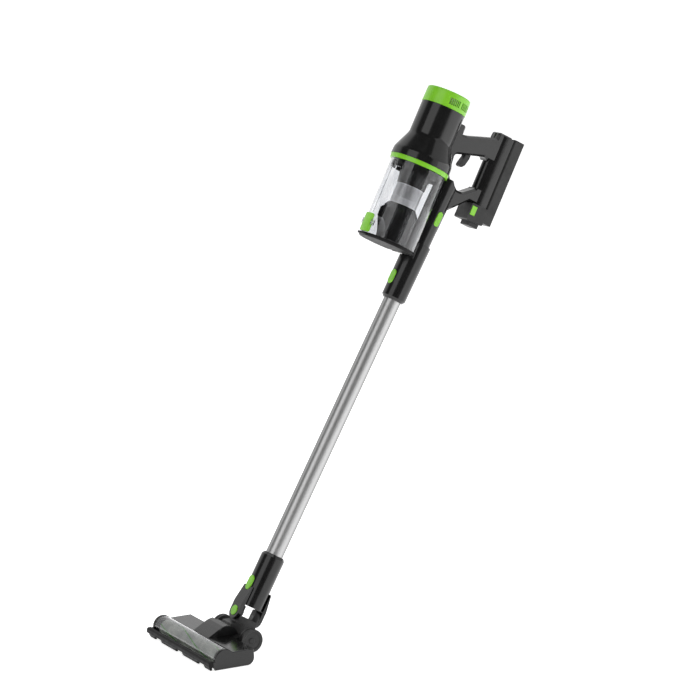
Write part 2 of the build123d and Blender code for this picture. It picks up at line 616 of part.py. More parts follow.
def trigger():
    """Curved trigger below the grip, hung from a pin inside it."""
    body = slab(((78, 223), (88, 223), (88, 205), (84.5, 192), (79, 186), (73, 187.5), (74.5, 195),
                 (78, 207)),
                -TRIGGER_HALF, TRIGGER_HALF)
    corners = body.edges().filter_by(Axis.X)
    body = fillet(corners.filter_by_position(Axis.Z, 185, 200), 2.5)
    return body - rod_x(1.5 + FIT, TRIGGER_U, TRIGGER_H, -20, 20)


def trigger_pin():
    """Pin that the trigger turns on."""
    return rod_x(1.5, TRIGGER_U, TRIGGER_H, -12, 12)


def trigger_spring():
    """Folded spring between the trigger and the grip."""
    return Pos(0, 89.2, 206) * zigzag(4, 2.0, 6, 1.2)


def control_board():
    """Circuit board in the column."""
    board = box((-12, 12), (138, 139.6), (160, 250))
    chips = box((-5, 5), (139.6, 142), (180, 192)) + box((-8, -2), (139.6, 145), (205, 217))
    return board + chips + box((3, 9), (139.6, 143), (222, 236))


def battery_terminals():
    """Contact blades under the column, in a moulded block."""
    return Compound([box((x - 0.4, x + 0.4), (142, 150), (COLUMN_BOTTOM - 3, COLUMN_BOTTOM + 4))
                     for x in (-9, -3, 3, 9)])


# ---------------------------------------------------------------- battery, hand frame


def battery_case():
    """Slab behind the column with a foot under it, hollow."""
    slab_front = COLUMN_REAR + GAP
    back = box((-BATTERY_HALF, BATTERY_HALF), (slab_front, BATTERY_REAR), (BATTERY_BOTTOM, COLUMN_TOP - 1))
    back = fillet(back.edges().filter_by(Axis.Z), 2.5)
    foot = box((-BATTERY_HALF - 1, BATTERY_HALF + 1), (FOOT_FRONT, slab_front + 3), (FOOT_BOTTOM, FOOT_TOP))
    foot = fillet(foot.edges().filter_by(Axis.X), 2.5)
    lower = box((-14, 14), (136, slab_front), (FOOT_BOTTOM - 8, FOOT_BOTTOM + 2))
    case = back + foot + lower
    case -= box((-BATTERY_HALF + 2, BATTERY_HALF - 2), (slab_front + 1.6, BATTERY_REAR - 1.8),
                (BATTERY_BOTTOM + 2, COLUMN_TOP - 3.5))
    case -= box((-14, 14), (FOOT_FRONT + 3, slab_front - 1), (FOOT_BOTTOM + 2.5, FOOT_TOP - 2.5))
    case -= Compound([box((x - 1, x + 1), (141, 151), (FOOT_TOP - 4, FOOT_TOP + 1)) for x in (-9, -3, 3, 9)])
    for side in (-1, 1):
        case -= battery_button_form(side, GAP, 5.0)
    return case


def battery_button_form(side, grow, deep):
    """Square button in the foot's side."""
    outer = BATTERY_HALF + 1.8
    half_u, half_h = 5.5 + grow, 8.5 + grow
    block = box((outer - deep, outer + (3 if grow else 0)),
                (BATTERY_BUTTON_U - half_u, BATTERY_BUTTON_U + half_u),
                (BATTERY_BUTTON_H - half_h, BATTERY_BUTTON_H + half_h))
    return block if side > 0 else mirror(block, about=Plane.YZ)


def battery_button(side):
    """Release button of the battery."""
    body = battery_button_form(side, 0.0, 3.2)
    return fillet(body.faces().sort_by(Axis.X)[-1 if side > 0 else 0].edges(), 0.8)


def battery_cells():
    """Cells standing in two rows of two."""
    cells = []
    for x in (-8.8, 8.8):
        for h in (120, 190):
            cells.append(Pos(x, 167.2, 0) * cylinder(8.7, h, h + 65))
    return Compound(cells)


def battery_board():
    """Protection board in the battery's foot."""
    return box((-12, 12), (128, 152), (112, 113.6)) + box((-4, 4), (134, 142), (113.6, 117))


# ---------------------------------------------------------------- dust cup, hand frame


def cup_shell():
    """Clear cup, open at both ends, with ribs for the latch and a port at the rear."""
    shell = pipe(CUP_R, CUP_R - CUP_WALL, CUP_BOTTOM, CUP_TOP)
    shell += pipe(CUP_R, CUP_R - 4.5, CUP_TOP - 4, CUP_TOP)
    ears = both_sides(box((LATCH_HALF + GAP, LATCH_HALF + 2.6), (LATCH_PIN_U - 2, -CUP_R + 4.4), (20, 30)))
    ears -= cylinder(CUP_R - CUP_WALL, 0, 60)
    ears -= rod_x(1.2, LATCH_PIN_U, LATCH_H, -20, 20)
    shell += ears
    shell += box((-1, 1), (-CUP_R - 1.2, -CUP_R + 0.6), (44, CUP_TOP - 1.2))
    port = HAND_IN_WAND.inverse() * box((-10, 10), (-60, 20), (PORT_Q[0] - 1, PORT_Q[1] + 1))
    return shell - (port & box((-20, 20), (30, 60), (0, 200)))


def cup_ring():
    """Coloured ring round the cup's top."""
    return turned(((CUP_R - 3, CUP_TOP), (CUP_R - 3, RING_TOP), (RING_R + 0.5, RING_TOP),
                   (RING_R, CUP_TOP - 1), (CUP_R, CUP_TOP - 1), (CUP_R, CUP_TOP)))


def cyclone_shroud():
    """Dark inner drum above the mesh, hung from the cup's top."""
    return turned(((MESH_R + 1, MESH_HIGH), (30, 143), (30, 146), (CUP_R - 5, 146),
                   (CUP_R - 5, CUP_TOP + 0.02), (CUP_R - 3.2, CUP_TOP + 0.04), (CUP_R - 3.2, RING_TOP - 1),
                   (22, RING_TOP - 1), (22, MESH_HIGH)))


def mesh_screen():
    """Perforated metal screen."""
    return pipe(MESH_R, MESH_R - 0.8, MESH_LOW, MESH_HIGH - 0.02)


def intake_body():
    """Dark body under the mesh that turns the inlet air round the cup."""
    body = turned(((0, 9), (35, 9), (36, 62), (MESH_R + 1, MESH_LOW), (0, MESH_LOW)))
    body -= Pos(-14, -44, 8) * Sphere(42)
    body -= cylinder(MESH_R - 4, 40, MESH_LOW + 1)
    body -= Pos(-12, -20, 56) * Rot(0, 0, 15) * box((-12, 12), (-25, 8), (-12, 12))
    return body + cup_foot()


def pre_filter():
    """Foam sleeve inside the shroud."""
    return pipe(20.5, 12, MESH_HIGH - 20, RING_TOP - 2)


def bottom_plate():
    """Round plate that closes the cup below."""
    top = CUP_BOTTOM - GAP
    return turned(((0, 0), (CUP_R - 0.5, 0), (CUP_R + 1.2, 1.8), (CUP_R + 1.2, top), (0, top)))


def lid():
    """Bottom lid with a lip at the front and a hinge knuckle ahead of the wand's connector."""
    plate = bottom_plate() & box((-70, 70), (-70, LID_PIN_U - LID_GAP), (-1, 20))
    plate -= cylinder(CUP_R - 8, 2.4, 10)
    lip = box((-11, 11), (-CUP_R - 7, -CUP_R + 4), (0.6, 4.6))
    plate += fillet(lip.edges().filter_by(Axis.X).sort_by(Axis.Y)[:2], 1.9)
    plate += rod_x(2.6, LID_PIN_U, LID_PIN_H, -9, 9)
    plate += box((-9, 9), (LID_PIN_U - 6, LID_PIN_U), (LID_PIN_H - 2.6, LID_PIN_H + 2.0))
    return plate - rod_x(1.5 + FIT, LID_PIN_U, LID_PIN_H, -30, 30)


def cup_foot():
    """Fixed rear part of the cup's bottom, with the lugs that hold the lid's pin."""
    foot = bottom_plate() & box((-70, 70), (LID_PIN_U + LID_GAP, 70), (-1, 20))
    leg = box((-20, 20), (LID_PIN_U + LID_GAP, 60), (2, 12)) + box((-20, 20), (26, 60), (8.6, 12))
    foot += leg & cylinder(CUP_R - CUP_WALL - GAP, 0, 30)
    lug = rod_x(2.6, LID_PIN_U, LID_PIN_H, 9.3, 14.7)
    lug += box((9.3, 14.7), (LID_PIN_U, LID_PIN_U + 6), (LID_PIN_H - 2.4, LID_PIN_H + 2.4))
    foot += both_sides(lug)
    return foot - rod_x(1.5, LID_PIN_U, LID_PIN_H, -20, 20)


def lid_seal():
    """Sealing ring in the lid."""
    ring = pipe(CUP_R - 8.02, CUP_R - 11, 2.4, CUP_BOTTOM - GAP)
    return ring & box((-60, 60), (-60, LID_PIN_U - LID_GAP), (0, 20))


def cup_pins():
    """Hinge pins of the lid and the latch."""
    latch_pin = rod_x(1.2, LATCH_PIN_U, LATCH_H, -LATCH_HALF - 2.6, LATCH_HALF + 2.6)
    return rod_x(1.5, LID_PIN_U, LID_PIN_H, -14.7, 14.7) + latch_pin


def latch():
    """Lid latch: a curved key on a pin, close round the cup, down to the lid's lip."""
    low, high = CUP_BOTTOM + 0.2, 41
    key = pipe(CUP_R + 5.6, CUP_R + 0.9, low, high) - cylinder(CUP_R + 3.0, 29, 50)
    outline = Rot(90, 0, 0) * extrude(RectangleRounded(2 * LATCH_HALF, high - low, 4.5), 80)
    key &= Pos(0, 0, (low + high) / 2) * outline
    return key - rod_x(1.2 + FIT, LATCH_PIN_U, LATCH_H, -20, 20)


# ---------------------------------------------------------------- all pieces
def pieces():
    """Every piece by name, with the frame it is drawn in."""
    head = {
        "head_base": head_base(), "head_top_cover": head_top_cover(), "pivot_hood": pivot_hood(),
        "brush_window": brush_window(), "side_cap_left": side_cap(-1), "side_cap_right": side_cap(1),
        "front_bumper": front_bumper(), "sole_skid": sole_skid(), "head_pins": head_pins(),
        "rear_wheel_left": rear_wheel(-1), "rear_wheel_right": rear_wheel(1),
        "brush_motor": brush_motor(), "motor_pulley": motor_pulley(), "drive_belt": drive_belt(),
        "brush_bearings": brush_bearings(), "brush_core": brush_core(), "brush_pile": brush_pile(),
        "sole_screws": sole_screws(),
    }
    wand = {
        "elbow": elbow(), "neck_connector": neck_connector(), "roll_pins": roll_pins(),
        "pivot_cap": pivot_cap(),
        "lower_button": release_button(LOWER_BUTTON_Q), "lower_button_spring": button_spring(LOWER_BUTTON_Q),
        "wand_tube": wand_tube(), "upper_connector": upper_connector(),
        "upper_button": release_button(UPPER_BUTTON_Q), "upper_button_spring": button_spring(UPPER_BUTTON_Q),
        "inlet_duct": inlet_duct(), "cup_button": cup_button(),
    }
    hand = {
        "motor_housing": motor_housing(), "exhaust_cap": exhaust_cap(), "hepa_filter": hepa_filter(),
        "motor_can": motor_can(), "motor_mount": motor_mount(), "impeller": impeller(), "rotor": rotor(),
        "handle_left": handle_half(-1), "handle_right": handle_half(1), "handle_screws": handle_screws(),
        "trigger": trigger(), "trigger_pin": trigger_pin(), "trigger_spring": trigger_spring(),
        "control_board": control_board(), "battery_terminals": battery_terminals(),
        "battery_case": battery_case(), "battery_cells": battery_cells(), "battery_board": battery_board(),
        "battery_button_left": battery_button(-1), "battery_button_right": battery_button(1),
        "cup_shell": cup_shell(), "cup_ring": cup_ring(), "cyclone_shroud": cyclone_shroud(),
        "mesh_screen": mesh_screen(), "intake_body": intake_body(), "pre_filter": pre_filter(),
        "lid": lid(), "lid_seal": lid_seal(), "cup_pins": cup_pins(), "latch": latch(),
    }
    return ((HEAD, head), (WAND, wand), (HAND, hand))


def main():
    """Write one STEP file per piece."""
    os.makedirs("parts", exist_ok=True)
    for frame, group in pieces():
        for name, solid in group.items():
            export_step(frame * solid, f"parts/{name}.step")


if __name__ == "__main__":
    main()
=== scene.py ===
"""Looks of the cordless stick vacuum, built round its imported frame."""
import json
import math
import random

import bpy
from mathutils import Matrix, Vector


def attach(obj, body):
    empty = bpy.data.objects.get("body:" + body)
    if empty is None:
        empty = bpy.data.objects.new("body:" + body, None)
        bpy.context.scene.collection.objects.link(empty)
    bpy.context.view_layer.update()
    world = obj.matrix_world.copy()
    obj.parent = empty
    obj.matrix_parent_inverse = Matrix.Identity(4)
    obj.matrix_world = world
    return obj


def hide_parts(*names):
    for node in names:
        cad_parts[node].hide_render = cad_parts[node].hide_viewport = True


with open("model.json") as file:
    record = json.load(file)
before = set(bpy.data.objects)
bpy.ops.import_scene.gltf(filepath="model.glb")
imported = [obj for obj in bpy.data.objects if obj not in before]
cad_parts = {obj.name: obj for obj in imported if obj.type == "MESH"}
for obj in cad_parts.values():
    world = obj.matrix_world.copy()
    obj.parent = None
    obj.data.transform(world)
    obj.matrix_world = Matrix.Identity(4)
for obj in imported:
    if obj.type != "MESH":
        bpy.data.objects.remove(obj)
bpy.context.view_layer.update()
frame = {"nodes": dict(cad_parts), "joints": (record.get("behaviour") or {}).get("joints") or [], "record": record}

# ---------------------------------------------------------------- the frames the object is drawn in
MM = 0.001
LEAN = math.radians(29.05)          # wand against upright
HAND_LEAN = math.radians(26.55)     # dust cup's axis against upright
JOINTS = {j["name"]: j for j in frame["joints"]}


def place(origin, lean):
    """Matrix of a frame whose Z leans back towards +Y."""
    return Matrix.Translation(Vector(origin)) @ Matrix.Rotation(-lean, 4, "X")


ROLL_Q = -10 * MM                   # steering joint, along the wand
steer = Vector(JOINTS["steer"]["pos_m"])
WAND = place(steer, LEAN) @ Matrix.Translation((0, 0, -ROLL_Q))
HAND_IN_WAND = Matrix.Translation((0, -61 * MM, 691.5 * MM))
HAND = WAND @ HAND_IN_WAND @ Matrix.Rotation(LEAN - HAND_LEAN, 4, "X")


# ---------------------------------------------------------------- materials
NOISE_LOW, NOISE_HIGH = 0.3, 0.7    # where noise is mapped from
TONE_LOW, TONE_HIGH = 0.35, 0.65    # where the two tones begin and end
SMOOTHER, ROUGHER = 0.85, 1.2       # spread of the roughness about its mean
CLEAR_IOR = 1.42


def tree(name):
    """New node material with its Principled shader."""
    mat = bpy.data.materials.new(name)
    mat.use_nodes = True
    return mat, mat.node_tree.nodes, mat.node_tree.links, mat.node_tree.nodes["Principled BSDF"]


def noise(nodes, links, scale, detail=3.0, stretch=(1, 1, 1), rough=0.5, lean=0.0):
    """Noise in the object's own coordinates, stretched along axes that lean back."""
    coords = nodes.new("ShaderNodeTexCoord")
    mapping = nodes.new("ShaderNodeMapping")
    mapping.inputs["Rotation"].default_value = (lean, 0, 0)
    mapping.inputs["Scale"].default_value = stretch
    links.new(coords.outputs["Object"], mapping.inputs["Vector"])
    tex = nodes.new("ShaderNodeTexNoise")
    tex.inputs["Scale"].default_value = scale
    tex.inputs["Detail"].default_value = detail
    tex.inputs["Roughness"].default_value = rough
    links.new(mapping.outputs["Vector"], tex.inputs["Vector"])
    return tex


def spread(nodes, links, source, low, high):
    """Maps a 0..1 value onto low..high."""
    ramp = nodes.new("ShaderNodeMapRange")
    ramp.inputs["From Min"].default_value = NOISE_LOW
    ramp.inputs["From Max"].default_value = NOISE_HIGH
    ramp.inputs["To Min"].default_value = low
    ramp.inputs["To Max"].default_value = high
    links.new(source, ramp.inputs["Value"])
    return ramp.outputs["Result"]


def two_tone(nodes, links, source, dark, light):
    """Colour that runs from dark to light with a 0..1 value."""
    ramp = nodes.new("ShaderNodeValToRGB")
    ramp.color_ramp.elements[0].position = TONE_LOW
    ramp.color_ramp.elements[0].color = (*dark, 1)
    ramp.color_ramp.elements[1].position = TONE_HIGH
    ramp.color_ramp.elements[1].color = (*light, 1)
    links.new(source, ramp.inputs["Fac"])
    return ramp.outputs["Color"]


def bump(nodes, links, height, strength, distance, edge=0.0):
    """Bump from a height, over softly rounded edges."""
    node = nodes.new("ShaderNodeBump")
    node.inputs["Strength"].default_value = strength
    node.inputs["Distance"].default_value = distance
    links.new(height, node.inputs["Height"])
    if edge:
        bevel = nodes.new("ShaderNodeBevel")
        bevel.samples = 4
        bevel.inputs["Radius"].default_value = edge
        links.new(bevel.outputs["Normal"], node.inputs["Normal"])
    return node.outputs["Normal"]


def plastic(name, dark, light, rough, grain, depth, edge=0.0007, coat=0.0, specular=0.5):
    """Moulded plastic: slight colour drift, roughness drift and a fine mould grain."""
    mat, nodes, links, shader = tree(name)
    drift = noise(nodes, links, 45, 4)
    links.new(two_tone(nodes, links, drift.outputs["Fac"], dark, light), shader.inputs["Base Color"])
    smear = noise(nodes, links, 120, 5)
    rougher = spread(nodes, links, smear.outputs["Fac"], rough * SMOOTHER, rough * ROUGHER)
    links.new(rougher, shader.inputs["Roughness"])
    fine = noise(nodes, links, grain, 2)
    links.new(bump(nodes, links, fine.outputs["Fac"], 0.5, depth, edge), shader.inputs["Normal"])
    shader.inputs["Coat Weight"].default_value = coat
    shader.inputs["Coat Roughness"].default_value = 0.06
    shader.inputs["Specular IOR Level"].default_value = specular
    return mat


def clear_plastic(name, dark, light, rough):
    """Clear moulded plastic: a real tint that runs from dark to light in painted reflection streaks along the dust
    cup's axis, with the roughness drifting along the same streaks.
    """
    mat, nodes, links, shader = tree(name)
    painted_reflection_streaks = noise(nodes, links, 55, 3, (1, 1, 0.05), 0.5, HAND_LEAN)
    # painted reflection: darker streaks in the tint, drawn out along the cup's axis
    links.new(two_tone(nodes, links, painted_reflection_streaks.outputs["Fac"], dark, light), shader.inputs["Base Color"])
    links.new(spread(nodes, links, painted_reflection_streaks.outputs["Fac"], rough * 0.6, rough * 1.4), shader.inputs["Roughness"])
    shader.inputs["Transmission Weight"].default_value = 1.0
    shader.inputs["IOR"].default_value = CLEAR_IOR
    return mat


def metal(name, dark, light, rough, stretch, scale=300, depth=0.00004, edge=1.0):
    """Metal with fine marks, drawn out by stretch; painted shade darkens its colour by the factor edge at grazing
    angles.
    """
    mat, nodes, links, shader = tree(name)
    lines = noise(nodes, links, scale, 4, stretch)
    facing = nodes.new("ShaderNodeLayerWeight")
    facing.inputs["Blend"].default_value = 0.5
    shade = nodes.new("ShaderNodeMix")
    shade.data_type = "RGBA"
    shade.blend_type = "MULTIPLY"
    shade.inputs["Factor"].default_value = 1.0
    links.new(two_tone(nodes, links, lines.outputs["Fac"], dark, light), shade.inputs["A"])
    # painted shade: the colour is multiplied down to edge towards grazing angles
    grazing_shade = two_tone(nodes, links, facing.outputs["Facing"], (1, 1, 1), (edge, edge, edge))
    links.new(grazing_shade, shade.inputs["B"])
    links.new(shade.outputs["Result"], shader.inputs["Base Color"])
    rougher = spread(nodes, links, lines.outputs["Fac"], rough * SMOOTHER, rough * ROUGHER)
    links.new(rougher, shader.inputs["Roughness"])
    links.new(bump(nodes, links, lines.outputs["Fac"], 0.3, depth), shader.inputs["Normal"])
    shader.inputs["Metallic"].default_value = 1.0
    return mat


def soft(name, dark, light, scale, depth):
    """Rubber, foam or paper: rough and grainy."""
    mat, nodes, links, shader = tree(name)
    grain = noise(nodes, links, scale, 5)
    links.new(two_tone(nodes, links, grain.outputs["Fac"], dark, light), shader.inputs["Base Color"])
    links.new(spread(nodes, links, grain.outputs["Fac"], 0.7, 0.95), shader.inputs["Roughness"])
    links.new(bump(nodes, links, grain.outputs["Fac"], 0.8, depth), shader.inputs["Normal"])
    return mat


DARK = plastic("dark_plastic", (0.006, 0.006, 0.006), (0.009, 0.009, 0.009), 0.15, 1400, 0.00003)
MATTE = plastic("matte_plastic", (0.024, 0.024, 0.024), (0.034, 0.034, 0.034), 0.45, 2200, 0.00010,
                specular=0.35)
GREEN = plastic("green_plastic", (0.205, 0.58, 0.024), (0.235, 0.62, 0.030), 0.24, 1400, 0.00003)
# the tint's dark end draws the painted reflection streaks
CLEAR = clear_plastic("clear_plastic", (0.74, 0.75, 0.77), (0.92, 0.925, 0.935), 0.015)
# edge=0.42 is painted shade: the tube's colour gets darker towards its sides
TUBE = metal("tube_metal", (0.47, 0.47, 0.47), (0.51, 0.51, 0.51), 0.36, (1, 1, 1), 900, 0.00002, edge=0.42)
SCREEN = metal("screen_metal", (0.84, 0.84, 0.85), (0.96, 0.96, 0.97), 0.50, (1, 1, 1), 600)
STEEL = metal("steel", (0.45, 0.45, 0.46), (0.60, 0.60, 0.61), 0.32, (1, 1, 0.1))
BRASS = metal("brass", (0.62, 0.42, 0.16), (0.78, 0.56, 0.24), 0.30, (1, 1, 1))
FLAT_DARK = plastic("flat_dark_plastic", (0.010, 0.010, 0.010), (0.015, 0.015, 0.015), 0.5, 1800, 0.00006,
                    specular=0.12)
DULL_STEEL = metal("dull_steel", (0.10, 0.10, 0.10), (0.16, 0.16, 0.16), 0.45, (1, 1, 0.1))
RUBBER = soft("rubber", (0.012, 0.012, 0.012), (0.022, 0.022, 0.022), 900, 0.00008)
FOAM = soft("foam", (0.03, 0.03, 0.03), (0.09, 0.09, 0.09), 700, 0.0006)
PAPER = soft("paper", (0.72, 0.71, 0.66), (0.84, 0.83, 0.78), 500, 0.0001)
BOARD = plastic("board", (0.008, 0.09, 0.03), (0.012, 0.13, 0.045), 0.35, 500, 0.0001)
CELL = plastic("cell", (0.03, 0.10, 0.30), (0.04, 0.13, 0.38), 0.25, 400, 0.00003)

BY_SLOT = {
    "dark_plastic": DARK, "matte_plastic": MATTE, "green_plastic": GREEN, "clear_plastic": CLEAR,
    "tube_metal": TUBE, "screen_metal": SCREEN, "steel": STEEL, "rubber": RUBBER, "foam": FOAM,
    "paper": PAPER, "board": BOARD, "brass": BRASS, "cell": CELL, "pile": FOAM,
}
BY_NODE = {"lid": FLAT_DARK, "front_bumper": FLAT_DARK, "head_base": FLAT_DARK, "roll_pins": DULL_STEEL}
SLOTS = {s["node"]: s["material_slot"] for s in frame["record"]["subparts"]}
for node, thing in frame["nodes"].items():
    thing.data.materials.clear()
    thing.data.materials.append(BY_NODE.get(node, BY_SLOT[SLOTS[node]]))


# ---------------------------------------------------------------- mesh building
def new_piece(name, verts, faces, material, body, node=None, smooth=False):
    """Mesh object from points and faces, riding on a body."""
    data = bpy.data.meshes.new(name)
    data.from_pydata([tuple(v) for v in verts], [], faces)
    data.update()
    data.polygons.foreach_set("use_smooth", [smooth] * len(data.polygons))
    data.materials.append(material)
    thing = bpy.data.objects.new(name, data)
    bpy.context.scene.collection.objects.link(thing)
    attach(thing, body)
    if node:
        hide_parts(node)
    return thing


def perforated_screen():
    """Metal sleeve with rows of eight-sided holes, with a plain band at each end."""
    radius, low, high, sheet = 25 * MM, 76 * MM, 113 * MM, 0.4 * MM
    columns, rows, band = 66, 15, 1.4 * MM
    pitch = (high - low - 2 * band) / rows
    hole, sides = 0.31, 8           # the hole's radius is a share of its cell
    verts, faces = [], []

    def on_sleeve(turn, z):
        return HAND @ Vector((radius * math.sin(turn), -radius * math.cos(turn), z))

    def add(*points):
        start = len(verts)
        verts.extend(points)
        faces.append(tuple(range(start, start + len(points))))

    step = 2 * math.pi / columns
    for i in range(columns):
        left, right = i * step, (i + 1) * step
        for z0, z1 in ((low, low + band), (high - band, high)):
            add(on_sleeve(left, z0), on_sleeve(right, z0), on_sleeve(right, z1), on_sleeve(left, z1))
        for j in range(rows):
            z0 = low + band + j * pitch
            middle, centre = left + step / 2, z0 + pitch / 2
            square, ring = [], []
            for k in range(sides):
                angle = (k + 0.5) * math.pi / 4
                across, along = math.cos(angle), math.sin(angle)
                reach = 0.5 / max(abs(across), abs(along))
                square.append(on_sleeve(middle + reach * across * step, centre + reach * along * pitch))
                ring.append(on_sleeve(middle + hole * across * step, centre + hole * along * pitch))
            for k in range(sides):
                n = (k + 1) % sides
                if k % 2:
                    corner = (k + 1) * math.pi / 4
                    tip = on_sleeve(middle + math.copysign(0.5, math.cos(corner)) * step,
                                    centre + math.copysign(0.5, math.sin(corner)) * pitch)
                    add(square[k], tip, square[n], ring[n], ring[k])
                else:
                    add(square[k], square[n], ring[n], ring[k])
    screen = new_piece("perforated_screen", verts, faces, SCREEN, "dust_cup", "mesh_screen")
    weld = screen.modifiers.new("weld", "WELD")
    weld.merge_threshold = 0.00002
    thick = screen.modifiers.new("thick", "SOLIDIFY")
    thick.thickness = sheet
    thick.offset = -1


def bayonet_lugs():
    """Dark band inside the cup's rim with lugs hanging from it."""
    inner, outer = 44.5 * MM, 48.6 * MM
    grazing_shade, band, foot = 146 * MM, 142.5 * MM, 136 * MM    # top, band's lower edge, lugs' lower edge
    lugs, steps, share = 12, 8, 5                       # a lug fills 5 of the 8 steps from one to the next
    verts, faces = [], []
    around = lugs * steps
    for i in range(around):
        low = foot if i % steps < share else band
        for turn in (2 * math.pi * i / around, 2 * math.pi * (i + 1) / around):
            for radius, z in ((inner, low), (outer, low), (outer, grazing_shade), (inner, grazing_shade)):
                verts.append(HAND @ Vector((radius * math.sin(turn), -radius * math.cos(turn), z)))
        start, after = 8 * i, 8 * ((i + 1) % around)    # eight points a step, four on each side
        for k in range(4):
            n = (k + 1) % 4
            faces.append((start + k, start + n, start + 4 + n, start + 4 + k))
        low_after = foot if (i + 1) % steps < share else band
        if low_after != low:
            faces.append((start + 4, start + 5, after + 1, after))
    ring = new_piece("bayonet_lugs", verts, faces, DARK, "dust_cup")
    weld = ring.modifiers.new("weld", "WELD")
    weld.merge_threshold = 0.00001


def duct_cover():
    """Curved plate that closes the inlet duct below the finger opening: a straight run, then an arc.

    All in millimetres in the hand frame, u rearwards and h up."""
    centre_u, centre_h, bend = 84.46, 165.42, 20        # the arc at the opening's lower front corner
    start, end, steps = math.radians(221.8), math.radians(266.3), 12
    front_u, front_h = 62.6, 159.86                     # the straight run's upper end
    half_width, sunk, thickness = 10.4, 0.5, 1.2
    outline = []
    for offset in (sunk, sunk + thickness):
        row = [(front_u - 0.75 * offset, front_h - 0.67 * offset)]
        for k in range(steps + 1):
            turn = start + (end - start) * k / steps
            reach = bend + offset
            row.append((centre_u + reach * math.cos(turn), centre_h + reach * math.sin(turn)))
        outline.append(row)
    loop = outline[0] + outline[1][::-1]
    verts = [HAND @ (Vector((x, u, h)) * MM) for x in (-half_width, half_width) for u, h in loop]
    count = len(loop)
    faces = [(k, (k + 1) % count, count + (k + 1) % count, count + k) for k in range(count)]
    for k in range(count // 2 - 1):
        mirror = count - 1 - k
        faces.append((k, mirror, mirror - 1, k + 1))
        faces.append((count + k, count + k + 1, count + mirror - 1, count + mirror))
    new_piece("duct_cover", verts, faces, DARK, "handheld")


# ---------------------------------------------------------------- the brush roll's pile
ROLL_Y, ROLL_Z = (20 - 342.3) * MM, 17 * MM
ROLL_X = (-103 * MM, 110 * MM)
PILE_FELT = 14.2 * MM
FIBRES = 15000
FIBRE_TIPS = (15.2, 16.4)           # radii in millimetres
SLEEVE_BORE = 10.1 * MM
ROW_STARTS = -3                     # helical rows round the roll, and the way they turn
ROW_TWIST = 8                       # turns of the rows' pattern in a metre


def pile_material():
    """Pale pile with thin green helical rows."""
    mat, nodes, links, shader = tree("pile")
    coords = nodes.new("ShaderNodeTexCoord")
    parts = nodes.new("ShaderNodeSeparateXYZ")
    links.new(coords.outputs["Object"], parts.inputs["Vector"])

    def maths(operation, *values):
        node = nodes.new("ShaderNodeMath")
        node.operation = operation
        for i, value in enumerate(values):
            if isinstance(value, (int, float)):
                node.inputs[i].default_value = value
            else:
                links.new(value, node.inputs[i])
        return node.outputs[0]

    y = maths("SUBTRACT", parts.outputs["Y"], ROLL_Y)
    z = maths("SUBTRACT", parts.outputs["Z"], ROLL_Z)
    turn = maths("DIVIDE", maths("ARCTAN2", z, y), 2 * math.pi)
    twist = maths("MULTIPLY", parts.outputs["X"], ROW_TWIST)
    phase = maths("ADD", maths("MULTIPLY", turn, ROW_STARTS), twist)
    wave = maths("PINGPONG", phase, 0.5)
    rows = nodes.new("ShaderNodeValToRGB")
    rows.color_ramp.elements[0].position = 0.028
    rows.color_ramp.elements[0].color = (0.10, 0.50, 0.03, 1)
    rows.color_ramp.elements[1].position = 0.045
    rows.color_ramp.elements[1].color = (0.50, 0.53, 0.47, 1)
    deep = rows.color_ramp.elements.new(0.36)
    deep.color = (0.62, 0.65, 0.58, 1)
    links.new(wave, rows.inputs["Fac"])
    fibre = noise(nodes, links, 1600, 4)
    shade = nodes.new("ShaderNodeMix")
    shade.data_type = "RGBA"
    shade.blend_type = "MULTIPLY"
    shade.inputs["Factor"].default_value = 1.0
    links.new(rows.outputs["Color"], shade.inputs["A"])
    shadow = two_tone(nodes, links, fibre.outputs["Fac"], (0.62, 0.62, 0.62), (1, 1, 1))
    links.new(shadow, shade.inputs["B"])
    links.new(shade.outputs["Result"], shader.inputs["Base Color"])
    links.new(spread(nodes, links, fibre.outputs["Fac"], 0.75, 0.95), shader.inputs["Roughness"])
    links.new(bump(nodes, links, fibre.outputs["Fac"], 0.7, 0.0003), shader.inputs["Normal"])
    shader.inputs["Sheen Weight"].default_value = 0.25
    return mat


